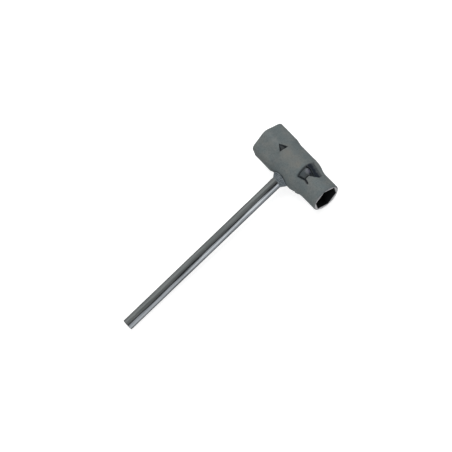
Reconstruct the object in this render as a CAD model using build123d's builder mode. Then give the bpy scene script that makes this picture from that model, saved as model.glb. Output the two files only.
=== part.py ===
"""Hydrant wrench: a double-ended socket head formed from tube, with a round handle bar welded across it.

Frame, in millimetres: the origin is the centre of the large socket's mouth. The socket axis is Y, and the
small socket is at the -Y end. The handle bar runs along -X and +Z is up, with the wrench lying on its side.
"""
import math
import os

from build123d import *

# Handle bar
bar_diameter = 18.0
bar_reach = 346.0            # socket axis to the free end
bar_edge_break = 0.6
bar_seat_clearance = 0.1     # radial, in the drilled hole of the head
bar_end_recess = 1.0         # how far the bar's end stays short of the bore

# Weld between bar and head
weld_leg = 6.0

# Head, as lengths along the socket axis from the large face
hex_end_length = 32.5
runout_length = 13.0         # where the six outer corners fade into the round body
neck_margin = 5.0            # weld toe to the start of the neck
neck_length = 30.0
small_end_length = 24.5

body_diameter = 58.0
small_end_diameter = 47.7
tube_wall = 5.5
hex_flat_rise = 0.5          # how far the large end's flats stand proud of the round body
hex_outer_corner_radius = 12.0
hex_clocking = 22.5          # degrees from +X towards +Z, to the first corner

# Sockets
large_across_flats = 46.0
large_socket_depth = 35.0
small_across_flats = 36.0
small_socket_depth = 26.0
socket_corner_radius = 1.5
mouth_chamfer = 1.0
large_rim_round = 1.5
small_rim_round = 2.0

# Press marks, in three places round the head
press_mark_count = 3
press_mark_angle = 80.0      # degrees from +X towards +Z, to the first mark
corner_mark_length = 11.0
corner_mark_width = 14.5
corner_mark_depth = 2.6      # below the round body
corner_mark_setback = 3.0    # from the start of the round body
corner_mark_floor_share = 0.35
neck_mark_width = 23.0
neck_mark_depth = 3.4        # below the round body
neck_mark_wall_lean = 0.8
neck_mark_setback = 6.0      # from the start of the neck
neck_lump_radius = 5.2
neck_lump_height = 2.2       # above the mark's floor
neck_lump_setback = 7.0      # from the mark's wall

# Worked out from the sizes above
bar_radius = bar_diameter / 2
body_radius = body_diameter / 2
small_end_radius = small_end_diameter / 2
bore_radius = body_radius - tube_wall
small_bore_radius = small_end_radius - tube_wall
hex_outer_apothem = body_radius + hex_flat_rise
corner_centre_radius = (hex_outer_apothem - hex_outer_corner_radius) / math.cos(math.radians(30))
crest_radius = corner_centre_radius + hex_outer_corner_radius
body_start = hex_end_length + runout_length
bar_station = body_start + weld_leg + bar_radius
neck_start = bar_station + bar_radius + weld_leg + neck_margin
small_end_start = neck_start + neck_length
head_length = small_end_start + small_end_length
mark_angles = [press_mark_angle + 360 / press_mark_count * mark for mark in range(press_mark_count)]

socket_axis = Axis((0, 0, 0), (0, -1, 0))
lathe_plane = Plane(origin=(0, 0, 0), x_dir=(0, -1, 0), z_dir=(1, 0, 0))
bar_plane = Plane(origin=(0, -bar_station, 0), x_dir=(0, 1, 0), z_dir=(-1, 0, 0))


def s_curve(start, end):
    """Two equal arcs from start to end, level at both, for a radius that changes along the head."""
    middle = ((start[0] + end[0]) / 2, (start[1] + end[1]) / 2)
    TangentArc(start, middle, tangent=(1, 0))
    TangentArc(end, middle, tangent=(-1, 0))


def ridge_plane(angle):
    """Plane on the socket axis, with x towards the small end and z radially outward at the angle."""
    turn = math.radians(angle)
    return Plane(origin=(0, 0, 0), x_dir=(0, -1, 0), z_dir=(math.cos(turn), 0, math.sin(turn)))


def ridge_section(angle):
    """Plane through the socket axis, with x towards the small end and y radially outward at the angle."""
    turn = math.radians(angle)
    return Plane(origin=(0, 0, 0), x_dir=(0, -1, 0), z_dir=(-math.sin(turn), 0, math.cos(turn)))


# ---------------------------------------------------------------- socket head
with BuildPart() as socket_head:
    # Large end: a rounded hexagon whose corners fade out towards the round body
    with BuildSketch(lathe_plane):
        with BuildLine():
            Polyline((body_start, body_radius), (body_start, 0), (0, 0), (0, crest_radius))
            Line((0, crest_radius), (hex_end_length, crest_radius))
            s_curve((hex_end_length, crest_radius), (body_start, body_radius))
        make_face()
    revolve(axis=socket_axis)
    with BuildSketch(Plane.XZ) as hex_outline:
        RegularPolygon(hex_outer_apothem, 6, major_radius=False, rotation=hex_clocking)
        fillet(hex_outline.vertices(), hex_outer_corner_radius)
    extrude(amount=body_start, mode=Mode.INTERSECT)
    fillet(socket_head.faces().sort_by(Axis.Y)[-1].edges(), large_rim_round)

    # Round body, neck and small end
    with BuildSketch(lathe_plane):
        with BuildLine():
            rim_start = (head_length - small_rim_round, small_end_radius)
            rim_end = (head_length, small_end_radius - small_rim_round)
            Polyline((neck_start, body_radius), (body_start, body_radius), (body_start, 0), (head_length, 0))
            Line((head_length, 0), rim_end)
            TangentArc(rim_end, rim_start, tangent=(0, 1))
            Line(rim_start, (small_end_start, small_end_radius))
            s_curve((neck_start, body_radius), (small_end_start, small_end_radius))
        make_face()
    revolve(axis=socket_axis)

    # Bore through the body and the neck, one tube wall inside
    with BuildSketch(lathe_plane):
        with BuildLine():
            Polyline((neck_start, bore_radius), (large_socket_depth, bore_radius), (large_socket_depth, 0))
            Polyline((large_socket_depth, 0), (small_end_start, 0), (small_end_start, small_bore_radius))
            s_curve((neck_start, bore_radius), (small_end_start, small_bore_radius))
        make_face()
    revolve(axis=socket_axis, mode=Mode.SUBTRACT)

    # Hexagonal sockets, with a lead-in at each mouth
    with BuildSketch(Plane.XZ) as large_hexagon:
        RegularPolygon(large_across_flats / 2, 6, major_radius=False, rotation=hex_clocking)
        fillet(large_hexagon.vertices(), socket_corner_radius)
    extrude(amount=large_socket_depth, mode=Mode.SUBTRACT)
    with BuildSketch(Plane.XZ.offset(head_length)) as small_hexagon:
        RegularPolygon(small_across_flats / 2, 6, major_radius=False, rotation=hex_clocking)
        fillet(small_hexagon.vertices(), socket_corner_radius)
    extrude(amount=-small_socket_depth, mode=Mode.SUBTRACT)
    chamfer(socket_head.faces().sort_by(Axis.Y)[-1].inner_wires()[0].edges(), mouth_chamfer)
    chamfer(socket_head.faces().sort_by(Axis.Y)[0].inner_wires()[0].edges(), mouth_chamfer)

    # Drilled hole that seats the bar
    with BuildSketch(bar_plane):
        Circle(bar_radius + bar_seat_clearance)
    extrude(amount=body_radius, mode=Mode.SUBTRACT)

    # Triangular press marks, where every second corner fades out
    corner_mark_base = body_start - corner_mark_setback
    corner_mark_tip = corner_mark_base - corner_mark_length
    corner_floor_tip = corner_mark_base - corner_mark_floor_share * corner_mark_length
    corner_mark_half = corner_mark_width / 2
    corner_floor_half = corner_mark_floor_share * corner_mark_half
    for angle in mark_angles:
        with BuildSketch(ridge_plane(angle).offset(body_radius - corner_mark_depth)):
            Polygon(
                (corner_floor_tip, 0),
                (corner_mark_base, -corner_floor_half),
                (corner_mark_base, corner_floor_half),
                align=None,
            )
        with BuildSketch(ridge_plane(angle).offset(crest_radius)):
            Polygon(
                (corner_mark_tip, 0),
                (corner_mark_base, -corner_mark_half),
                (corner_mark_base, corner_mark_half),
                align=None,
            )
        loft(mode=Mode.SUBTRACT)

    # Stepped press marks on the neck, each a flat with a wall across its start
    neck_mark_wall = neck_start + neck_mark_setback
    neck_floor = body_radius - neck_mark_depth
    for angle in mark_angles:
        with BuildSketch(ridge_section(angle)):
            Polygon(
                (neck_mark_wall, body_radius),
                (neck_mark_wall + neck_mark_wall_lean, neck_floor),
                (small_end_start, small_end_radius),
                (small_end_start, body_radius),
                align=None,
            )
        extrude(amount=neck_mark_width / 2, both=True, mode=Mode.SUBTRACT)

    # A low lump of gathered metal on each neck mark's floor
    lump_station = neck_mark_wall + neck_lump_setback
    lump_top = neck_floor + neck_lump_height
    lump_foot = neck_floor - neck_lump_height
    lump_foot_radius = math.sqrt(neck_lump_radius**2 - (neck_lump_radius - 2 * neck_lump_height) ** 2)
    for angle in mark_angles:
        with BuildSketch(ridge_section(angle)):
            with BuildLine():
                Line((lump_station, lump_top), (lump_station, lump_foot))
                Line((lump_station, lump_foot), (lump_station + lump_foot_radius, lump_foot))
                RadiusArc((lump_station, lump_top), (lump_station + lump_foot_radius, lump_foot), neck_lump_radius)
            make_face()
        revolve(axis=Axis((0, -lump_station, 0), ridge_plane(angle).z_dir))

# ---------------------------------------------------------------- handle bar
with BuildPart() as handle_bar:
    with BuildSketch(bar_plane.offset(bore_radius + bar_end_recess)):
        Circle(bar_radius)
    extrude(amount=bar_reach - bore_radius - bar_end_recess)
    chamfer(handle_bar.faces().sort_by(Axis.X)[0].edges(), bar_edge_break)

# ---------------------------------------------------------------- weld bead
# A bar on a tube with the corner between them filled: what is left outside both is the bead
with BuildPart() as weld_bead:
    with BuildSketch(Plane.XZ):
        Circle(body_radius)
    extrude(amount=head_length)
    with BuildSketch(bar_plane):
        Circle(bar_radius)
    extrude(amount=bar_reach)
    seam = weld_bead.edges(Select.LAST).filter_by(GeomType.BSPLINE)
    chamfer(seam, weld_leg)
    with BuildSketch(Plane.XZ):
        Circle(body_radius)
    extrude(amount=head_length, mode=Mode.SUBTRACT)
    with BuildSketch(bar_plane):
        Circle(bar_radius)
    extrude(amount=bar_reach, mode=Mode.SUBTRACT)

os.makedirs("parts", exist_ok=True)
socket_head.part.label = "socket_head"
export_step(socket_head.part, "parts/socket_head.step")
handle_bar.part.label = "handle_bar"
export_step(handle_bar.part, "parts/handle_bar.step")
weld_bead.part.label = "weld_bead"
export_step(weld_bead.part, "parts/weld_bead.step")
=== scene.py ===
"""Looks of the hydrant wrench: a matte formed-tube head with bright ground rims, a plated round bar and a weld."""
import math

import bmesh
import bpy
import numpy as np
from mathutils import Matrix, Vector


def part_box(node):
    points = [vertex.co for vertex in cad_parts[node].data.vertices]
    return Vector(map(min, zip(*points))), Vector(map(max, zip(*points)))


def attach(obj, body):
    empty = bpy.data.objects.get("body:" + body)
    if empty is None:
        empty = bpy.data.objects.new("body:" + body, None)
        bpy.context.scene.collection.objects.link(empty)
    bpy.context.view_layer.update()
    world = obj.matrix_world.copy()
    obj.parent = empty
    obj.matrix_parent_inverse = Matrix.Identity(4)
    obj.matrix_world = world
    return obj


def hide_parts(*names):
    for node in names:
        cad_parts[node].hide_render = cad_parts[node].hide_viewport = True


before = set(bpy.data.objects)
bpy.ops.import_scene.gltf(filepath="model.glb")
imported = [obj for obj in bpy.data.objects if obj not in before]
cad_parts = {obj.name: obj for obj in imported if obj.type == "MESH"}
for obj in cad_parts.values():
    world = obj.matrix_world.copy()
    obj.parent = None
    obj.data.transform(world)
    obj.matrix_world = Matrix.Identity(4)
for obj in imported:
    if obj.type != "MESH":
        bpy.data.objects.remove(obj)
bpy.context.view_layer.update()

MM = 0.001                      # one millimetre, in the scene's metres

# ------------------------------------------------------------------ sizes, in millimetres, from the frame
head_low, head_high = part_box("socket_head")
bar_low, bar_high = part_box("handle_bar")
weld_low, weld_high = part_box("weld_bead")
head_length = (head_high.y - head_low.y) / MM
bar_radius = (bar_high.z - bar_low.z) / 2 / MM
bar_station = -(bar_high.y + bar_low.y) / 2 / MM
bar_inner_end = -bar_high.x / MM
bar_reach = -bar_low.x / MM
weld_leg = (weld_high.y - weld_low.y) / 2 / MM - bar_radius

# The head's own sizes, as in the CAD model; a station is a distance along the axis from the large face
hex_end_length = 32.5
body_start = bar_station - bar_radius - weld_leg
neck_start = bar_station + bar_radius + weld_leg + 5.0
neck_length = 30.0
small_end_start = neck_start + neck_length
body_radius = 29.0
small_end_radius = 23.85
tube_wall = 5.5
hex_apothem = 29.5
hex_corner_radius = 12.0
hex_clocking = 22.5             # degrees from +X towards +Z
large_apothem = 23.0
large_depth = 35.0
small_apothem = 18.0
small_depth = 26.0
socket_corner_radius = 1.5
mouth_chamfer = 1.0
large_rim_round = 1.5
large_rim_wear = 0.3            # wear along the large end's rim, as a share of the small end's
small_rim_round = 2.0
bar_hole_clearance = 0.1
flat_hollow = 0.10              # how far the middle of each outer flat is drawn in
crest_rise = 0.3                # how far the large end's corners stand above their own radius
neck_swell = 0.3                # ridge of metal where the neck starts
neck_swell_reach = 3.2
surface_inset = 0.14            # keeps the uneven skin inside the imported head's box
slow_unevenness = 0.09
fine_unevenness = 0.03
face_tolerance = 0.05           # how near an end face a vertex has to be to belong to it
wall_line_depth = 4.9           # under the skin, between the skin and the bore
large_wall_line = 28.0          # radius between the large socket and the skin
small_wall_line = 22.0          # radius between the small socket and the skin
sharp_angle = 38.0              # degrees between two faces whose shared edge stays sharp
head_steps = 432                # points round the head
hole_steps = 160                # points round the hole for the bar
toe_share = 0.92                # how far the bead spreads over the tube, as a share of its leg
toe_lean = 0.14                 # how much further it spreads on one side

# The press marks. A point of an outline is a distance along the axis from the neck's start, and an arc round the tube
mark_angle = 79.0               # degrees from +X towards +Z, to the first of them
mark_count = 3
corner_mark_tip = 14.4          # from the start of the round body, towards the large end
corner_mark_base = 3.0
corner_mark_depth = 2.9
neck_mark_radius = 27.0         # the circle that the neck marks' arcs are measured on
hollow_depth = 2.3
hollow_outline = [(4.6, 7.5), (6.6, -12.6), (18.0, -10.0), (19.0, -4.0), (19.0, 2.0), (8.0, 10.5)]
fold_depth = 2.0
fold_outline = [(3.0, 8.4), (4.4, 23.0), (30.0, 23.0), (31.6, 11.5), (21.0, 0.0), (17.6, 0.8)]
fold_shares = (1.0, 0.0, 0.5)   # how strongly each neck mark is folded over on its far side
lump_height = 1.7
lump_middle = (12.0, 3.6)
lump_reach = (4.2, 4.4)
crease_depth = 1.7
crease_lines = (                # how strong each crease is, how wide, and the line that it follows
    (0.72, 1.35, [(7.4, -11.4), (6.3, -6.1), (5.6, 0.0), (4.9, 4.5), (6.0, 7.4)]),
    (1.00, 2.00, [(5.6, 7.0), (8.0, 8.9), (11.5, 9.8), (17.5, 8.8), (23.5, 6.6)]),
    (0.98, 1.45, [(18.6, -9.0), (17.6, -5.5), (17.6, -2.0), (18.4, 1.6), (19.4, 4.5)]),
    (1.00, 2.15, [(8.6, -12.6), (12.0, -11.6), (15.5, -10.8), (18.8, -9.4), (21.5, -9.8), (25.0, -11.2)]),
)


# ------------------------------------------------------------------ shape helpers
def smooth_step(x):
    """0 below 0, 1 above 1, and a soft ramp between."""
    x = np.clip(x, 0.0, 1.0)
    return x * x * (3.0 - 2.0 * x)


def smooth_min(a, b, reach):
    """The smaller of two lengths, with the corner between them rounded over the reach."""
    share = np.clip(0.5 + 0.5 * (b - a) / reach, 0.0, 1.0)
    return b * (1.0 - share) + a * share - reach * share * (1.0 - share)


def waves(points, wavelength, seed, count=14):
    """Smooth random undulation of about unit height over points in millimetres."""
    random = np.random.default_rng(seed)
    total = np.zeros(points.shape[:-1])
    for _ in range(count):
        direction = random.normal(size=3)
        direction /= np.linalg.norm(direction)
        pitch = wavelength * random.uniform(0.7, 1.5)
        total += np.sin(points @ direction * (2 * math.pi / pitch) + random.uniform(0, 2 * math.pi))
    return total / math.sqrt(count / 2) / 2


def s_curve(station, start, end, first, last):
    """Radius along two equal arcs that are level at both ends."""
    length = end - start
    drop = first - last
    arc = (length**2 + drop**2) / (4 * drop)
    run = np.clip(station - start, 0.0, length)
    falling = first - (arc - np.sqrt(arc**2 - np.minimum(run, length / 2) ** 2))
    landing = last + (arc - np.sqrt(arc**2 - np.minimum(length - run, length / 2) ** 2))
    return np.where(run < length / 2, falling, landing)


def hexagon_radius(angles, apothem, corner_radius):
    """Distance from the axis to a hexagon with rounded corners, at each angle in degrees."""
    off_corner = np.radians(np.abs((angles - hex_clocking + 30.0) % 60.0 - 30.0))
    off_flat = math.pi / 6 - off_corner
    centre = (apothem - corner_radius) / math.cos(math.pi / 6)
    corner_starts = math.atan2((apothem - corner_radius) * math.tan(math.pi / 6), apothem)
    flat = apothem / np.cos(off_flat)
    reach = np.maximum(corner_radius**2 - (centre * np.sin(off_corner)) ** 2, 0.0)
    corner = centre * np.cos(off_corner) + np.sqrt(reach)
    return np.where(off_flat < corner_starts, flat, corner)


def inside(station, arc, corners):
    """How far a point lies within a convex outline, in millimetres; negative outside it."""
    turn = 0.0
    for (s0, a0), (s1, a1) in zip(corners, corners[1:] + corners[:1]):
        turn += s0 * a1 - s1 * a0
    side = math.copysign(1.0, turn)
    nearest = np.full(np.broadcast(station, arc).shape, 1e9)
    for (s0, a0), (s1, a1) in zip(corners, corners[1:] + corners[:1]):
        length = math.hypot(s1 - s0, a1 - a0)
        off = side * ((s1 - s0) * (arc - a0) - (a1 - a0) * (station - s0)) / length
        nearest = np.minimum(nearest, off)
    return nearest


def near_line(station, arc, corners):
    """Distance to a run of straight segments, in millimetres."""
    nearest = np.full(np.broadcast(station, arc).shape, 1e9)
    for (s0, a0), (s1, a1) in zip(corners, corners[1:]):
        length = math.hypot(s1 - s0, a1 - a0)
        share = np.clip(((station - s0) * (s1 - s0) + (arc - a0) * (a1 - a0)) / length**2, 0.0, 1.0)
        nearest = np.minimum(nearest, np.hypot(station - s0 - share * (s1 - s0), arc - a0 - share * (a1 - a0)))
    return nearest


def ring_mesh(name, rings, capped):
    """A mesh through rings of points in millimetres: a closed loop of rings, or a run of them capped at both ends."""
    count = len(rings[0])
    points = np.concatenate(rings)
    runs = len(rings) - 1 if capped else len(rings)
    faces = []
    for ring in range(runs):
        here = ring * count
        there = (ring + 1) % len(rings) * count
        for step in range(count):
            following = (step + 1) % count
            faces.append((here + step, here + following, there + following, there + step))
    if capped:
        points = np.concatenate([points, [rings[0].mean(axis=0)], [rings[-1].mean(axis=0)]])
        last = (len(rings) - 1) * count
        for step in range(count):
            following = (step + 1) % count
            faces.append((following, step, len(points) - 2))
            faces.append((last + step, last + following, len(points) - 1))
    mesh = bpy.data.meshes.new(name)
    mesh.from_pydata((points * MM).tolist(), [], faces)
    return finish_mesh(name, mesh)


def finish_mesh(name, mesh, sharp_from=sharp_angle):
    """Turns the mesh right side out, smooths it between its sharp edges and puts it in the scene."""
    mesh.validate()
    corners = np.empty(len(mesh.vertices) * 3)
    mesh.vertices.foreach_get("co", corners)
    corners = corners.reshape(-1, 3)
    mesh.calc_loop_triangles()
    triangles = np.empty(len(mesh.loop_triangles) * 3, dtype=np.int32)
    mesh.loop_triangles.foreach_get("vertices", triangles)
    a, b, c = (corners[triangles.reshape(-1, 3)[:, k]] for k in range(3))
    if np.einsum("ij,ij->", a, np.cross(b, c)) < 0:
        mesh.flip_normals()
    mesh.shade_smooth()
    mesh.set_sharp_from_angle(angle=math.radians(sharp_from))
    piece = bpy.data.objects.new(name, mesh)
    bpy.context.scene.collection.objects.link(piece)
    return piece


def vertex_points(mesh):
    """The mesh's vertices, in millimetres."""
    points = np.empty(len(mesh.vertices) * 3)
    mesh.vertices.foreach_get("co", points)
    return points.reshape(-1, 3) / MM


def paint(mesh, name, values):
    """Stores one number per vertex, for the materials to read."""
    layer = mesh.attributes.new(name, "FLOAT", "POINT")
    layer.data.foreach_set("value", np.asarray(values, dtype=np.float32))


# ------------------------------------------------------------------ socket head
def mark_place(angles, station, reach):
    """Station and arc from the middle of the nearest press mark, on a circle of that radius."""
    spacing = 360.0 / mark_count
    turn = (mark_angle - angles + spacing / 2) % spacing - spacing / 2
    return station + 0.0 * turn, np.radians(turn) * reach + 0.0 * station


def corner_mark(angles, station):
    """The triangular press marks where every second corner fades out: depth, and how near its walls, from 0 to 1."""
    along, arc = mark_place(angles, station, body_radius)
    tip, base = body_start - corner_mark_tip, body_start - corner_mark_base
    within = inside(along, arc, [(tip, -0.3), (base + 0.4, 7.6), (base - 1.4, -6.8)])
    ramp = np.clip((along - tip) / (base - tip - 1.5), 0.0, 1.0)
    depth = smooth_step(within / 1.1 + 0.1) * (0.35 + 0.65 * ramp)
    walls = smooth_step(within / 0.8 + 0.5) * (1.0 - 0.22 * smooth_step((within - 1.2) / 1.4))
    return depth, walls


def neck_mark(angles, station):
    """The folded pocket on the neck behind each corner mark: its hollow, side fold, lump and creases, and the painted
    shade that the hollow, fold and creases take together, each from 0 to 1."""
    along, arc = mark_place(angles, station, neck_mark_radius)
    along = along - neck_start
    hollow = smooth_step(inside(along, arc, hollow_outline) / 1.5 + 0.1)
    which = np.round((angles - mark_angle) / (360.0 / mark_count)).astype(int) % mark_count
    fold = smooth_step(inside(along, arc, fold_outline) / 2.6 + 0.1) * np.array(fold_shares)[which]
    off_lump = np.hypot((along - lump_middle[0]) / lump_reach[0], (arc - lump_middle[1]) / lump_reach[1])
    lump = smooth_step(1.35 - off_lump)
    creases = np.zeros(along.shape)
    for strength, width, line in crease_lines:
        creases = np.maximum(creases, strength * np.exp(-((near_line(along, arc, line) / width) ** 3)))
    # Painted shade: dark over the fold, fading towards its far edge, and over the hollow around the lump
    shaded = np.maximum(fold * (0.97 - 0.54 * smooth_step((arc - 10.5) / 9.0)), 0.42 * hollow * (1.0 - lump))
    return hollow, fold, lump, creases, np.maximum(creases, shaded)


def outer_radius(angles, station):
    """The head's outside, before its rims are rounded."""
    points = np.stack(
        [
            body_radius * np.cos(np.radians(angles)) + 0 * station,
            -station + 0 * angles,
            body_radius * np.sin(np.radians(angles)) + 0 * station,
        ],
        axis=-1,
    )
    crest = (hex_apothem - hex_corner_radius) / math.cos(math.pi / 6) + hex_corner_radius
    turned = s_curve(station, hex_end_length, body_start, crest + crest_rise, body_radius)
    turned = turned + s_curve(station, neck_start, small_end_start, body_radius, small_end_radius) - body_radius
    hexagon = hexagon_radius(angles, hex_apothem, hex_corner_radius)
    off_flat = np.abs((angles - hex_clocking) % 60.0 - 30.0)
    hexagon = hexagon - flat_hollow * smooth_step(1.0 - off_flat / 16.0)
    fade = np.maximum(station - body_start + 5.0, 0.0)
    radius = smooth_min(hexagon + 0.4 * fade, turned, 0.7)
    swell = neck_swell * np.exp(-(((station - neck_start + 1.5) / neck_swell_reach) ** 2))
    hollow, fold, lump, creases, _ = neck_mark(angles, station)
    radius = radius + swell * (1.0 - np.maximum(hollow, creases))
    radius = radius - corner_mark_depth * corner_mark(angles, station)[0]
    pressed = np.maximum(hollow_depth * hollow - lump_height * lump, fold_depth * fold)
    radius = radius - pressed - crease_depth * creases
    uneven = slow_unevenness * waves(points, 24.0, 3), fine_unevenness * waves(points, 6.0, 4)
    return radius - surface_inset + uneven[0] + uneven[1]


def head_rings():
    """Rings of points from the large mouth over the outside and back through the sockets."""
    angles = np.arange(head_steps) * 360.0 / head_steps
    cosine, sine = np.cos(np.radians(angles)), np.sin(np.radians(angles))
    rings = []

    def ring(station, radius):
        """One ring across the axis; its station may differ from point to point."""
        station = np.broadcast_to(station, angles.shape)
        rings.append(np.stack([radius * cosine, -station, radius * sine], axis=-1))

    def rim(edge, inward, round_radius):
        """The rounded outer edge at one end face, from the face to the side."""
        side = outer_radius(angles, np.full(head_steps, edge + inward * round_radius))
        for turn in np.radians(np.linspace(0, 90, 7)):
            yield edge + inward * round_radius * (1 - math.sin(turn)), side - round_radius * (1 - math.cos(turn))

    large_mouth = hexagon_radius(angles, large_apothem + mouth_chamfer, socket_corner_radius)
    large_wall = hexagon_radius(angles, large_apothem, socket_corner_radius)
    small_mouth = hexagon_radius(angles, small_apothem + mouth_chamfer, socket_corner_radius)
    small_wall = hexagon_radius(angles, small_apothem, socket_corner_radius)

    ring(0.0, large_mouth)
    large_rim = list(rim(0.0, 1.0, large_rim_round))[::-1]
    for share in (0.25, 0.5, 0.75):
        ring(0.0, large_mouth + share * (large_rim[0][1] - large_mouth))
    for station, radius in large_rim:
        ring(station, radius)
    stations = np.concatenate(
        [
            np.linspace(large_rim_round, hex_end_length - 3.0, 14)[1:],
            np.arange(hex_end_length - 2.4, body_start + 1.0, 0.5),
            np.linspace(body_start + 1.5, neck_start, 22),
            np.arange(neck_start + 0.5, neck_start + 8.0, 0.35),
            np.arange(neck_start + 8.0, small_end_start + 3.0, 0.55),
            np.linspace(small_end_start + 4.0, head_length - small_rim_round, 12)[:-1],
        ]
    )
    for station in stations:
        ring(station, outer_radius(angles, np.full(head_steps, station)))
    small_rim = list(rim(head_length, -1.0, small_rim_round))
    for station, radius in small_rim:
        ring(station, radius)
    for share in (0.75, 0.5, 0.25):
        ring(head_length, small_mouth + share * (small_rim[-1][1] - small_mouth))
    ring(head_length, small_mouth)
    ring(head_length - mouth_chamfer, small_wall)
    for station in np.linspace(head_length - mouth_chamfer, head_length - small_depth, 4)[1:]:
        ring(station, small_wall)
    bore_radius = body_radius - tube_wall
    small_bore_radius = small_end_radius - tube_wall
    for station in np.linspace(head_length - small_depth, large_depth, 30):
        bore = s_curve(station, neck_start, small_end_start, bore_radius, small_bore_radius)
        ring(station, np.full(head_steps, float(bore)))
    for station in np.linspace(large_depth, mouth_chamfer, 5):
        ring(station, large_wall)
    return rings


def bar_cutter():
    """A plain cylinder through the tube's wall, a little wider than the bar."""
    turns = np.arange(hole_steps) * 2 * math.pi / hole_steps
    radius = bar_radius + bar_hole_clearance
    across, up = radius * np.cos(turns) - bar_station, radius * np.sin(turns)
    start, end = -(body_radius + 8.0), -(body_radius - tube_wall - 6.0)
    rings = [np.stack([np.full(hole_steps, x), across, up], axis=-1) for x in (start, end)]
    return ring_mesh("bar_hole_cutter", rings, True)


def build_head():
    """The formed tube, with the hole that the bar sits in, and what its surface shows painted on its vertices."""
    head = ring_mesh("socket_head_formed", head_rings(), False)
    cutter = bar_cutter()
    drill = head.modifiers.new("bar_hole", "BOOLEAN")
    drill.operation = "DIFFERENCE"
    drill.solver = "EXACT"
    drill.object = cutter
    depsgraph = bpy.context.evaluated_depsgraph_get()
    cut = bpy.data.meshes.new_from_object(head.evaluated_get(depsgraph))
    head.modifiers.clear()
    head.data = cut
    bpy.data.objects.remove(cutter)
    cut.shade_smooth()
    cut.set_sharp_from_angle(angle=math.radians(sharp_angle))

    points = vertex_points(cut)
    station = -points[:, 1]
    across = np.hypot(points[:, 0], points[:, 2])
    angles = np.degrees(np.arctan2(points[:, 2], points[:, 0]))
    # A vertex is on the outside if it lies beyond a line through the wall, which is drawn in three lengths
    wall_line = s_curve(station, neck_start, small_end_start, body_radius, small_end_radius) - wall_line_depth
    wall_line = np.where(station > head_length - small_depth - 0.1, small_wall_line, wall_line)
    wall_line = np.where(station < large_depth + 0.1, large_wall_line, wall_line)
    outside = across > wall_line
    ends = (station < face_tolerance) | (station > head_length - face_tolerance)
    _, fold, lump, creases, shade = neck_mark(angles, station)
    _, mark_walls = corner_mark(angles, station)
    rim_wear = np.exp(-np.minimum(station, head_length - station) / 0.9) * outside * ~ends
    rim_wear = rim_wear * np.where(station < head_length / 2, large_rim_wear, 1.0)
    dull_side = 1.0 - 0.5 * np.exp(-(((angles - mark_angle) / 38.0) ** 2))
    off_bar = np.hypot(station - bar_station, points[:, 2])
    off_bar = np.where(points[:, 0] < 0, off_bar, 99.0)
    toe = toe_share - toe_lean * (bar_station - station) / np.maximum(off_bar, 1.0)
    toe = bar_radius + weld_leg * toe + 0.9
    paint(cut, "ground_face", ends * dull_side)
    paint(cut, "edge_wear", np.clip(rim_wear, 0.0, 1.0))
    # Painted shade: near black along the corner marks' walls and in the neck creases
    paint(cut, "pressed", np.maximum(0.92 * mark_walls, creases) * outside)
    # Painted shade over the neck pocket's fold and hollow, where the creases don't already hold it
    paint(cut, "fold", np.maximum(shade - creases, 0.0) * outside)
    paint(cut, "lump", lump * (1.0 - creases) * outside)
    # A lighter, warmer stripe along the round body, centred at the first press mark's angle
    crown = (mark_angle - angles + 180.0) % 360.0 - 180.0
    band = smooth_step((station - large_depth) / 12.0) * smooth_step((neck_start + 3.0 - station) / 6.0)
    paint(cut, "crown_stripe_lighter", np.exp(-((crown / 20.0) ** 2)) * band * outside)
    # Dark oxide and painted shadow along the line where the weld meets the tube, wider and stronger towards the small
    # end
    low_side = 0.65 + 0.35 * smooth_step((station - bar_station) / 8.0)
    paint(cut, "toe", np.exp(-(((off_bar - toe) / (2.3 * low_side)) ** 2)) * low_side * outside)
    paint(cut, "heat", np.exp(-np.maximum(off_bar - bar_radius - weld_leg, 0.0) / 5.0) * outside)
    # Painted shade: the walls of the sockets and the bore painted near black
    paint(cut, "inside_painted_shade", (~outside & ~ends).astype(float))
    return head


# ------------------------------------------------------------------ handle bar
bar_steps = 128                 # points round the bar
end_break = 0.6                 # chamfer at the bar's ends
bar_unevenness = 0.025
bar_inset = 0.03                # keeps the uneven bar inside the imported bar
ding_count = 9
ding_depth = 0.14
ding_length = 1.7
ding_width = 1.1


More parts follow.
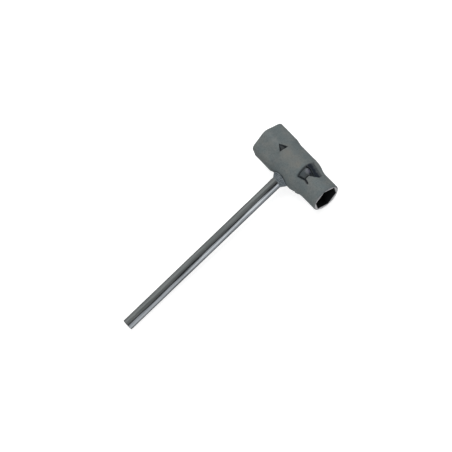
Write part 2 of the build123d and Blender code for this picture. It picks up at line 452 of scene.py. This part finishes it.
def build_bar():
    """The plated bar, with the slight waviness and small dings of a used one."""
    turns = np.arange(bar_steps) * 2 * math.pi / bar_steps
    stations = np.concatenate(
        [
            [bar_inner_end, bar_inner_end, bar_inner_end + end_break],
            np.linspace(bar_inner_end + 2.0, body_radius + 22.0, 26),
            np.linspace(body_radius + 25.0, bar_reach - 4.0, 74),
            np.linspace(bar_reach - 3.0, bar_reach - end_break, 5),
            [bar_reach, bar_reach],
        ]
    )
    radii = np.full(len(stations), bar_radius)
    radii[[1, -2]] = bar_radius - end_break
    radii[[0, -1]] = bar_radius / 2
    random = np.random.default_rng(21)
    dings = [(random.uniform(70, bar_reach - 12), random.uniform(0, 2 * math.pi)) for _ in range(ding_count)]
    rings = []
    for station, radius in zip(stations, radii):
        across, up = bar_radius * np.cos(turns) - bar_station, bar_radius * np.sin(turns)
        plain = np.stack([np.full(bar_steps, -station), across, up], axis=-1)
        off = 0.0
        if radius == bar_radius:
            off = bar_unevenness * waves(plain * [0.35, 1.0, 1.0], 16.0, 8) - bar_inset
            for where, turn in dings:
                arc = ((turns - turn + math.pi) % (2 * math.pi) - math.pi) * bar_radius
                off = off - ding_depth * np.exp(-(((station - where) / ding_length) ** 2) - (arc / ding_width) ** 2)
        wide = radius + off
        rings.append(np.stack([plain[:, 0], wide * np.cos(turns) - bar_station, wide * np.sin(turns)], axis=-1))
    bar = ring_mesh("handle_bar_plated", rings, True)
    points = vertex_points(bar.data)
    off_weld = -points[:, 0] - body_radius - weld_leg
    across = np.hypot(points[:, 1] + bar_station, points[:, 2])
    paint(bar.data, "heat", np.exp(-np.maximum(off_weld, 0.0) / 9.0))
    paint(bar.data, "cut_end", (points[:, 0] < -bar_reach + face_tolerance) * (across < bar_radius))
    paint(bar.data, "end_wear", np.exp(-np.maximum(bar_reach + points[:, 0], 0.0) / 2.5))
    return bar


# ------------------------------------------------------------------ weld bead
weld_steps = 420                # points round the bead
ripple_pitch = 2.7
ripple_height = 0.40
bead_crown = 0.35               # how far the bead stands out of the straight fillet
toe_wander = 0.8
bead_root = 0.5                 # how deep the bead's hidden faces lie in the bar and the tube


def saddle(across, turns, surface):
    """A point on the tube, or a depth under its surface, at a distance from the bar's axis."""
    z = across * np.sin(turns)
    x = -np.sqrt(surface**2 - z**2)
    return np.stack([x, across * np.cos(turns) - bar_station, z], axis=-1)


def on_bar(along, turns, radius):
    """A point on the bar, a length out from the tube's surface."""
    start = saddle(np.full(len(turns), bar_radius), turns, body_radius)[:, 0]
    return np.stack([start - along, radius * np.cos(turns) - bar_station, radius * np.sin(turns)], axis=-1)


def build_weld():
    """A rippled fillet all round the bar, laid in short crescents."""
    turns = np.arange(weld_steps) * 2 * math.pi / weld_steps
    circle = np.stack([12.0 * np.cos(turns), 12.0 * np.sin(turns), 0 * turns], axis=-1)
    head_toe = bar_radius + weld_leg * (toe_share - toe_lean * np.cos(turns))
    head_toe = head_toe + toe_wander * 0.6 * waves(circle, 9.0, 31)
    bar_toe = weld_leg * (1.15 - 0.22 * np.cos(turns)) + toe_wander * waves(circle, 7.0, 32)
    ripples = round(2 * math.pi * (bar_radius + weld_leg * 0.6) / ripple_pitch)
    profile = np.linspace(0.0, 1.0, 19)
    inner_corner = on_bar(np.zeros(weld_steps), turns, bar_radius)
    start = saddle(head_toe, turns, body_radius)
    end = on_bar(bar_toe, turns, bar_radius)
    middle = (start + end) / 2
    outward = middle - inner_corner
    outward /= np.linalg.norm(outward, axis=1, keepdims=True)
    rings, valleys = [], []
    for share in profile:
        chord = start * (1 - share) + end * share
        arch = math.sin(math.pi * share)
        bow = 0.9 * arch + 0.25 * waves(circle, 5.0, 33)
        phase = (ripples * turns / (2 * math.pi) + 1.15 * bow + 0.30 * waves(circle, 14.0, 34)) % 1.0
        crest = np.where(phase < 0.7, phase / 0.7, (1.0 - phase) / 0.3)
        crest = smooth_step(crest)
        height = bead_crown * arch**0.8 + ripple_height * (crest - 0.5) * min(1.0, 2.2 * arch)
        height = height + 0.22 * arch * waves(circle, 11.0, 35) - 0.12
        rings.append(chord + outward * height[:, None])
        valleys.append((1.0 - crest) * min(1.0, 2.0 * arch))
    rings.append(on_bar(bar_toe - 0.6, turns, bar_radius - bead_root))
    valleys.append(np.zeros(weld_steps))
    rings.append(on_bar(np.full(weld_steps, -bead_root), turns, bar_radius - bead_root))
    valleys.append(np.zeros(weld_steps))
    rings.append(saddle(head_toe - 0.6, turns, body_radius - bead_root))
    valleys.append(np.zeros(weld_steps))
    weld = ring_mesh("weld_bead_rippled", rings, False)
    paint(weld.data, "valley", np.concatenate(valleys))
    return weld


# ------------------------------------------------------------------ weld spatter
spatter_count = 22
spatter_sizes = (0.28, 0.75)


def build_spatter():
    """Small beads of metal thrown on the tube and the bar beside the weld."""
    random = np.random.default_rng(77)
    build = bmesh.new()
    for number in range(spatter_count):
        size = random.uniform(*spatter_sizes)
        turn = random.uniform(0, 2 * math.pi)
        out = random.exponential(4.0) + 1.8
        if number % 3:
            place = saddle(np.array([bar_radius + weld_leg + min(out, 12.0)]), np.array([turn]), body_radius)[0]
            normal = Vector((place[0], 0.0, place[2])).normalized()
        else:
            place = on_bar(np.array([weld_leg + out]), np.array([turn]), bar_radius)[0]
            normal = Vector((0.0, place[1] + bar_station, place[2])).normalized()
        squash = random.uniform(0.55, 0.9)
        stretch = random.uniform(0.85, 1.3)
        turned = normal.to_track_quat("Z", "Y").to_matrix().to_4x4()
        centre = (Vector(place) + normal * size * 0.12) * MM
        shape = Matrix.Translation(centre) @ turned @ Matrix.Diagonal((stretch, 1.0, squash, 1.0))
        bmesh.ops.create_icosphere(build, subdivisions=2, radius=size * MM, matrix=shape)
    mesh = bpy.data.meshes.new("weld_spatter_beads")
    build.to_mesh(mesh)
    build.free()
    return finish_mesh("weld_spatter_beads", mesh, 180.0)


# ------------------------------------------------------------------ materials
class Look:
    """A node material in millimetres: helpers that each add one node and give back its output."""

    def __init__(self, name):
        self.material = bpy.data.materials.new(name)
        self.material.use_nodes = True
        self.tree = self.material.node_tree
        self.shader = self.tree.nodes["Principled BSDF"]
        where = self.tree.nodes.new("ShaderNodeTexCoord")
        scaled = self.tree.nodes.new("ShaderNodeVectorMath")
        scaled.operation = "SCALE"
        scaled.inputs["Scale"].default_value = 1 / MM
        self.tree.links.new(where.outputs["Object"], scaled.inputs[0])
        self.place = scaled.outputs[0]

    def set(self, socket, value):
        if isinstance(value, bpy.types.NodeSocket):
            self.tree.links.new(value, socket)
        else:
            socket.default_value = value

    def stretched(self, x, y, z):
        node = self.tree.nodes.new("ShaderNodeVectorMath")
        node.operation = "MULTIPLY"
        self.set(node.inputs[0], self.place)
        node.inputs[1].default_value = (x, y, z)
        return node.outputs[0]

    def noise(self, size, detail=3.0, roughness=0.5, distortion=0.0, place=None):
        """Noise of about that size in millimetres, from 0 to 1."""
        node = self.tree.nodes.new("ShaderNodeTexNoise")
        self.set(node.inputs["Vector"], self.place if place is None else place)
        node.inputs["Scale"].default_value = 1.0 / size
        node.inputs["Detail"].default_value = detail
        node.inputs["Roughness"].default_value = roughness
        node.inputs["Distortion"].default_value = distortion
        return node.outputs["Fac"]

    def spots(self, size, place=None):
        """Distance to the nearest of a scatter of points, in cells of that size."""
        node = self.tree.nodes.new("ShaderNodeTexVoronoi")
        self.set(node.inputs["Vector"], self.place if place is None else place)
        node.inputs["Scale"].default_value = 1.0 / size
        return node.outputs["Distance"]

    def painted(self, name):
        node = self.tree.nodes.new("ShaderNodeAttribute")
        node.attribute_name = name
        return node.outputs["Fac"]

    def math(self, operation, a, b=0.0, clamp=False):
        node = self.tree.nodes.new("ShaderNodeMath")
        node.operation = operation
        node.use_clamp = clamp
        self.set(node.inputs[0], a)
        self.set(node.inputs[1], b)
        return node.outputs[0]

    def ramp(self, value, low, high, first=0.0, last=1.0):
        """The value taken from the range low to high onto the range first to last, and held at its ends."""
        node = self.tree.nodes.new("ShaderNodeMapRange")
        node.interpolation_type = "SMOOTHSTEP"
        self.set(node.inputs["Value"], value)
        node.inputs["From Min"].default_value = low
        node.inputs["From Max"].default_value = high
        node.inputs["To Min"].default_value = first
        node.inputs["To Max"].default_value = last
        return node.outputs["Result"]

    def mix(self, share, a, b):
        """Colour a turning to colour b as the share goes from 0 to 1."""
        node = self.tree.nodes.new("ShaderNodeMix")
        node.data_type = "RGBA"
        self.set(node.inputs[0], share)
        self.set(node.inputs[6], a if isinstance(a, bpy.types.NodeSocket) else (*a, 1.0))
        self.set(node.inputs[7], b if isinstance(b, bpy.types.NodeSocket) else (*b, 1.0))
        return node.outputs[2]

    def blend(self, share, a, b):
        """Number a turning to number b as the share goes from 0 to 1."""
        node = self.tree.nodes.new("ShaderNodeMix")
        self.set(node.inputs[0], share)
        self.set(node.inputs[2], a)
        self.set(node.inputs[3], b)
        return node.outputs[0]

    def bump(self, height, depth, strength=1.0, under=None):
        """Relief of that depth in millimetres on top of any relief under it."""
        node = self.tree.nodes.new("ShaderNodeBump")
        node.inputs["Strength"].default_value = strength
        node.inputs["Distance"].default_value = depth * MM
        self.set(node.inputs["Height"], height)
        if under is not None:
            self.set(node.inputs["Normal"], under)
        return node.outputs["Normal"]

    def finish(self, colour, roughness, metallic, normal):
        self.set(self.shader.inputs["Base Color"], colour)
        self.set(self.shader.inputs["Roughness"], roughness)
        self.set(self.shader.inputs["Metallic"], metallic)
        self.set(self.shader.inputs["Normal"], normal)
        return self.material


def head_material():
    """Matte blue-grey scaled steel, ground bright on its end faces and worn along its edges, with a lighter, warmer
    stripe along the body, painted shade in its press marks and sockets, and dark oxide with painted shadow along the
    weld.
    """
    look = Look("head_steel_matte")
    patches = look.noise(16.0, 4.0, 0.6)
    mottle = look.noise(2.6, 5.0, 0.65)
    grain = look.noise(0.35, 2.0, 0.6)
    drawn = look.noise(1.0, 3.0, 0.6, place=look.stretched(1.0, 0.06, 1.0))
    colour = look.mix(look.ramp(patches, 0.35, 0.68), (0.168, 0.200, 0.205), (0.216, 0.231, 0.224))
    colour = look.mix(look.ramp(mottle, 0.42, 0.72, 0.0, 0.55), colour, (0.128, 0.148, 0.155))
    colour = look.mix(look.ramp(grain, 0.52, 0.75, 0.0, 0.45), colour, (0.29, 0.305, 0.305))
    colour = look.mix(look.ramp(grain, 0.30, 0.45, 0.35, 0.0), colour, (0.10, 0.112, 0.118))
    # A lighter, warmer stripe along the body at the first press mark's angle
    crown_stripe_lighter = look.math("MULTIPLY", look.painted("crown_stripe_lighter"), look.ramp(patches, 0.3, 0.7, 0.5, 1.0))
    colour = look.mix(look.math("MULTIPLY", crown_stripe_lighter, 0.7), colour, (0.208, 0.206, 0.188))
    # Painted shade: near-black blue over the neck pocket's fold and hollow, uneven in strength
    uneven_dark = look.ramp(look.noise(3.5, 3.0, 0.6), 0.35, 0.7, 1.55, 1.15)
    fold = look.math("MULTIPLY", look.painted("fold"), uneven_dark, True)
    colour = look.mix(fold, colour, (0.021, 0.027, 0.038))
    # Painted shade: near black along the corner marks' walls and in the creases, made matt and non-metallic further
    # down so it stays dark
    pressed = look.math("MULTIPLY", look.painted("pressed"), look.ramp(mottle, 0.25, 0.8, 1.1, 0.85), True)
    colour = look.mix(pressed, colour, (0.004, 0.006, 0.009))
    lump = look.math("MULTIPLY", look.painted("lump"), look.ramp(mottle, 0.3, 0.7, 0.6, 0.9))
    colour = look.mix(look.math("MULTIPLY", lump, 0.8), colour, (0.175, 0.180, 0.225))
    heat = look.math("MULTIPLY", look.painted("heat"), look.ramp(look.noise(5.0, 3.0), 0.3, 0.7, 0.5, 1.0))
    colour = look.mix(look.math("MULTIPLY", heat, 0.45), colour, (0.075, 0.092, 0.115))
    # Dark oxide and painted shadow along the weld's toe on the tube
    toe = look.math("MULTIPLY", look.painted("toe"), look.ramp(look.noise(2.4, 3.0, 0.6), 0.38, 0.6, 0.6, 1.1), True)
    colour = look.mix(look.math("MULTIPLY", toe, 0.96), colour, (0.012, 0.018, 0.030))
    # Painted shade: the inside of the sockets and the bore turned near black
    inside_painted_shade = look.painted("inside_painted_shade")
    colour = look.mix(look.math("MULTIPLY", inside_painted_shade, 0.92), colour, (0.012, 0.013, 0.014))
    scuff = look.ramp(look.noise(3.2, 4.0, 0.7), 0.35, 0.62)
    wear = look.math("MULTIPLY", look.painted("edge_wear"), look.ramp(scuff, 0.0, 1.0, 0.45, 1.0), True)
    colour = look.mix(look.math("MULTIPLY", wear, 0.45), colour, (0.36, 0.37, 0.37))
    lines = look.noise(0.45, 3.0, 0.7, place=look.stretched(1.0, 1.0, 0.05))
    face = look.painted("ground_face")
    bright = look.mix(look.ramp(lines, 0.3, 0.75), (0.66, 0.65, 0.66), (0.84, 0.83, 0.84))
    colour = look.mix(face, colour, bright)
    metallic = look.math("ADD", look.blend(face, 0.45, 0.55), look.math("MULTIPLY", wear, 0.3), True)
    metallic = look.blend(pressed, metallic, 0.0)
    rough = look.blend(face, look.ramp(mottle, 0.25, 0.8, 0.50, 0.66), look.ramp(lines, 0.3, 0.75, 0.30, 0.42))
    rough = look.blend(look.math("MULTIPLY", wear, 0.7), rough, 0.33)
    rough = look.blend(pressed, rough, 0.9)
    plain = look.math("SUBTRACT", 1.0, face)
    relief = look.bump(look.math("MULTIPLY", mottle, plain), 0.16, 0.8)
    relief = look.bump(look.math("MULTIPLY", grain, plain), 0.09, 0.9, relief)
    relief = look.bump(look.math("MULTIPLY", drawn, plain), 0.05, 0.5, relief)
    pits = look.math("MULTIPLY", look.ramp(look.spots(4.0), 0.0, 0.16), plain)
    relief = look.bump(pits, 0.05, 0.8, relief)
    relief = look.bump(look.math("MULTIPLY", lines, face), 0.03, 0.5, relief)
    look.shader.inputs["Specular IOR Level"].default_value = 0.25
    return look.finish(colour, rough, metallic, relief)


def bar_material():
    """Bright plating over drawn bar: faint lines along it, worn patches, and a dull heated zone by the weld."""
    look = Look("plated_bar_bright")
    drawn = look.noise(0.55, 3.0, 0.65, place=look.stretched(0.02, 1.0, 1.0))
    cloud = look.noise(9.0, 4.0, 0.6, place=look.stretched(0.4, 1.0, 1.0))
    grain = look.noise(0.3, 2.0)
    colour = look.mix(look.ramp(cloud, 0.3, 0.7), (0.59, 0.635, 0.645), (0.68, 0.725, 0.735))
    colour = look.mix(look.ramp(drawn, 0.52, 0.78, 0.0, 0.65), colour, (0.38, 0.40, 0.42))
    streaks = look.noise(2.4, 3.0, 0.6, place=look.stretched(0.035, 1.0, 1.0))
    colour = look.mix(look.ramp(streaks, 0.48, 0.66, 0.0, 0.55), colour, (0.36, 0.40, 0.41))
    spots = look.ramp(look.spots(5.5), 0.03, 0.10, 1.0, 0.0)
    specks = look.math("MULTIPLY", spots, look.ramp(look.noise(14.0, 3.0), 0.45, 0.6))
    colour = look.mix(look.math("MULTIPLY", specks, 0.8), colour, (0.10, 0.09, 0.09))
    heat = look.math("MULTIPLY", look.painted("heat"), look.ramp(cloud, 0.25, 0.75, 0.7, 1.0))
    tint = look.mix(look.ramp(look.painted("heat"), 0.25, 0.8), (0.40, 0.36, 0.33), (0.24, 0.26, 0.34))
    colour = look.mix(look.math("MULTIPLY", heat, 0.75), colour, tint)
    cut = look.painted("cut_end")
    saw = look.noise(0.5, 2.0, 0.7, place=look.stretched(1.0, 1.0, 0.04))
    colour = look.mix(cut, colour, look.mix(look.ramp(saw, 0.3, 0.7), (0.26, 0.26, 0.27), (0.46, 0.46, 0.47)))
    worn = look.math("MULTIPLY", look.painted("end_wear"), look.ramp(look.noise(2.2, 3.0), 0.4, 0.65))
    colour = look.mix(look.math("MULTIPLY", worn, 0.5), colour, (0.32, 0.31, 0.30))
    rough = look.ramp(cloud, 0.2, 0.8, 0.14, 0.24)
    rough = look.math("ADD", rough, look.ramp(drawn, 0.4, 0.8, 0.0, 0.08))
    rough = look.blend(look.math("MULTIPLY", heat, 0.8), rough, 0.42)
    rough = look.blend(look.math("MAXIMUM", cut, look.math("MULTIPLY", worn, 0.6)), rough, 0.45)
    sway = look.noise(9.0, 1.0, 0.5, place=look.stretched(0.11, 1.0, 1.0))
    relief = look.bump(sway, 1.6, 1.0)
    relief = look.bump(drawn, 0.016, 0.6, relief)
    relief = look.bump(grain, 0.006, 0.5, relief)
    relief = look.bump(look.math("MULTIPLY", saw, cut), 0.08, 0.8, relief)
    return look.finish(colour, rough, 1.0, relief)


def weld_material(name, with_ripples):
    """Bare weld metal: bright on the crests of its ripples and darker between them."""
    look = Look(name)
    cloud = look.noise(4.5, 4.0, 0.6)
    grain = look.noise(0.5, 3.0, 0.6)
    colour = look.mix(look.ramp(cloud, 0.3, 0.7), (0.200, 0.240, 0.262), (0.320, 0.355, 0.375))
    if with_ripples:
        # The valleys between the ripples painted darker
        valley_dark = look.math("MULTIPLY", look.painted("valley"), look.ramp(cloud, 0.25, 0.75, 0.9, 0.5))
        colour = look.mix(valley_dark, colour, (0.040, 0.050, 0.066))
    else:
        colour = look.mix(0.6, colour, (0.07, 0.07, 0.08))
    colour = look.mix(look.ramp(grain, 0.6, 0.8, 0.0, 0.4), colour, (0.36, 0.36, 0.37))
    rough = look.ramp(cloud, 0.2, 0.8, 0.34, 0.52)
    relief = look.bump(grain, 0.06, 0.7)
    relief = look.bump(look.noise(1.4, 3.0), 0.12, 0.6, relief)
    return look.finish(colour, rough, 0.55, relief)


def floor_material():
    """Pale matt studio floor."""
    look = Look("studio_floor")
    cloud = look.noise(140.0, 2.0)
    grain = look.noise(1.2, 2.0)
    colour = look.mix(look.ramp(cloud, 0.3, 0.7), (0.40, 0.40, 0.40), (0.42, 0.42, 0.42))
    relief = look.bump(grain, 0.02, 0.3)
    look.shader.inputs["Emission Color"].default_value = (1.0, 1.0, 1.0, 1.0)
    look.shader.inputs["Emission Strength"].default_value = 0.80
    return look.finish(colour, look.ramp(grain, 0.3, 0.7, 0.78, 0.84), 0.0, relief)


# ------------------------------------------------------------------ the object
head = build_head()
bar = build_bar()
weld = build_weld()
spatter = build_spatter()
head.data.materials.append(head_material())
bar.data.materials.append(bar_material())
weld.data.materials.append(weld_material("weld_metal_rippled", True))
spatter.data.materials.append(weld_material("weld_metal_spatter", False))
for piece, slot in ((head, "head_steel"), (bar, "plated_bar"), (weld, "weld_metal"), (spatter, "weld_metal")):
    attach(piece, "root")
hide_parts("socket_head")
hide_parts("handle_bar")
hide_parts("weld_bead")


# ------------------------------------------------------------------ floor
floor_reach = 0.75              # metres from its centre to its edge


def support_plane():
    """The centre and the upward normal of the plane that the wrench comes to rest on."""
    hull = bmesh.new()
    volume, moment = 0.0, np.zeros(3)
    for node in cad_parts.values():
        mesh = node.data
        corners = vertex_points(mesh) * MM
        mesh.calc_loop_triangles()
        triangles = np.array([corners[list(t.vertices)] for t in mesh.loop_triangles])
        share = np.einsum("ij,ij->i", triangles[:, 0], np.cross(triangles[:, 1], triangles[:, 2])) / 6
        volume += share.sum()
        moment += (share[:, None] * triangles.sum(axis=1) / 4).sum(axis=0)
        for corner in corners[corners[:, 2] < 0]:
            hull.verts.new(corner)
    centre = moment / volume
    bmesh.ops.convex_hull(hull, input=hull.verts)
    hull.faces.ensure_lookup_table()
    best = None
    for face in hull.faces:
        normal = -face.normal
        if normal.z < 0.5:
            continue
        middle = face.calc_center_median()
        height = middle.z - ((centre[0] - middle.x) * normal.x + (centre[1] - middle.y) * normal.y) / normal.z
        if best is None or height > best[0]:
            best = (height, normal.copy())
    hull.free()
    return Vector((centre[0], centre[1], best[0])), best[1]


rest_point, rest_normal = support_plane()
floor_mesh = bpy.data.meshes.new("floor")
corner_signs = ((-1, -1), (1, -1), (1, 1), (-1, 1))
floor_mesh.from_pydata([(floor_reach * a, floor_reach * b, 0.0) for a, b in corner_signs], [], [(0, 1, 2, 3)])
floor = bpy.data.objects.new("floor", floor_mesh)
floor.matrix_world = Matrix.Translation(rest_point) @ rest_normal.to_track_quat("Z", "Y").to_matrix().to_4x4()
floor_mesh.materials.append(floor_material())
bpy.context.scene.collection.objects.link(floor)
floor.visible_glossy = False

# ------------------------------------------------------------------ light
middle = Vector((-0.10, -bar_station * MM, 0.0))


def softbox(name, azimuth, elevation, distance, width, height, strength, glossy=True, aim=None):
    """A soft rectangular light. Azimuth 0 is in front, on the -Y side, and 90 is at +X."""
    turn, rise = math.radians(azimuth), math.radians(elevation)
    away = Vector((math.sin(turn) * math.cos(rise), -math.cos(turn) * math.cos(rise), math.sin(rise)))
    light = bpy.data.lights.new(name, "AREA")
    light.shape = "RECTANGLE"
    light.size = width
    light.size_y = height
    light.energy = strength * width * height * math.pi
    lamp = bpy.data.objects.new(name, light)
    target = middle if aim is None else aim
    lamp.location = target + away * distance
    lamp.rotation_euler = away.to_track_quat("Z", "Y").to_euler()
    lamp.visible_camera = False
    lamp.visible_glossy = glossy
    bpy.context.scene.collection.objects.link(lamp)
    return lamp


softbox("overhead_soft", azimuth=125, elevation=60, distance=1.5, width=1.5, height=1.5, strength=3.6, glossy=False)
softbox("left_fill", azimuth=-70, elevation=34, distance=1.4, width=0.9, height=0.9, strength=3.2, glossy=False)
softbox(
    "front_strip", azimuth=4, elevation=5, distance=0.9, width=0.50, height=0.26, strength=0.55,
    aim=middle + Vector((0.07, 0.0, 0.0)),
)

# The room's grey level at each angle round the bar's direction, in degrees: 0 is straight up and 90 is in front
room_levels = (
    (-180, 0.20), (-130, 0.14), (-83, 0.22), (-45, 0.34), (-24, 0.23), (8, 0.15), (27, 0.12), (35, 0.008),
    (49, 0.008), (59, 0.30), (66, 0.46), (84, 0.50), (100, 0.56), (117, 0.50), (134, 0.24), (180, 0.10),
)
cool_from = 50                  # degrees; light from further round is bluer
cool_tint = 1.06
warm_tint = 0.98


def studio_world():
    """A soft grey room: darker in a band in front above the front light, and near white behind the object."""
    world = bpy.data.worlds.new("studio")
    bpy.context.scene.world = world
    world.use_nodes = True
    tree = world.node_tree
    tree.nodes.clear()
    where = tree.nodes.new("ShaderNodeTexCoord")
    parts = tree.nodes.new("ShaderNodeSeparateXYZ")
    tree.links.new(where.outputs["Generated"], parts.inputs[0])
    front = tree.nodes.new("ShaderNodeMath")
    front.operation = "MULTIPLY"
    front.inputs[1].default_value = -1.0
    tree.links.new(parts.outputs["Y"], front.inputs[0])
    lean = tree.nodes.new("ShaderNodeMath")
    lean.operation = "ARCTAN2"
    tree.links.new(front.outputs[0], lean.inputs[0])
    tree.links.new(parts.outputs["Z"], lean.inputs[1])
    share = tree.nodes.new("ShaderNodeMapRange")
    share.inputs["From Min"].default_value = -math.pi
    share.inputs["From Max"].default_value = math.pi
    tree.links.new(lean.outputs[0], share.inputs["Value"])
    room = tree.nodes.new("ShaderNodeValToRGB")
    ramp = room.color_ramp
    for number, (degrees, level) in enumerate(room_levels):
        spot = (degrees + 180) / 360
        if number == 0:
            stop = ramp.elements[0]
            stop.position = spot
        elif number == len(room_levels) - 1:
            stop = ramp.elements[len(ramp.elements) - 1]
            stop.position = spot
        else:
            stop = ramp.elements.new(spot)
        stop.color = (level, level, level * (cool_tint if degrees > cool_from else warm_tint), 1.0)
    tree.links.new(share.outputs[0], room.inputs[0])
    light = tree.nodes.new("ShaderNodeBackground")
    tree.links.new(room.outputs[0], light.inputs["Color"])
    pale = tree.nodes.new("ShaderNodeBackground")
    pale.inputs["Color"].default_value = (1.0, 1.0, 1.0, 1.0)
    ray = tree.nodes.new("ShaderNodeLightPath")
    choice = tree.nodes.new("ShaderNodeMixShader")
    tree.links.new(ray.outputs["Is Camera Ray"], choice.inputs[0])
    tree.links.new(light.outputs[0], choice.inputs[1])
    tree.links.new(pale.outputs[0], choice.inputs[2])
    out = tree.nodes.new("ShaderNodeOutputWorld")
    tree.links.new(choice.outputs[0], out.inputs[0])


studio_world()
bpy.context.scene.view_settings.view_transform = "Standard"

# ------------------------------------------------------------------ camera
camera_elevation = 66.5
camera_azimuth = 0.6
camera_roll = 44.3
camera_distance = 3.56
camera_lens = 189.0
aim_point = Vector((-0.158, -0.062, 0.0))
aim_right = 0.0112
aim_up = 0.0197


def place_camera():
    """The photograph's view: from above and in front, with the bar running down to the left."""
    rise, turn, roll = (math.radians(v) for v in (camera_elevation, camera_azimuth, camera_roll))
    level = Vector((math.cos(turn), math.sin(turn), 0.0))
    back = Vector((math.sin(turn) * math.cos(rise), -math.cos(turn) * math.cos(rise), math.sin(rise)))
    above = back.cross(level)
    right = level * math.cos(roll) - above * math.sin(roll)
    up = level * math.sin(roll) + above * math.cos(roll)
    data = bpy.data.cameras.new("studio_camera")
    data.sensor_width = 36.0
    data.lens = camera_lens
    camera = bpy.data.objects.new("studio_camera", data)
    target = aim_point + right * aim_right + up * aim_up
    camera.matrix_world = Matrix.Translation(target + back * camera_distance) @ Matrix(
        ((right.x, up.x, back.x), (right.y, up.y, back.y), (right.z, up.z, back.z))
    ).to_4x4()
    bpy.context.scene.collection.objects.link(camera)
    bpy.context.scene.camera = camera


place_camera()

bpy.context.view_layer.update()
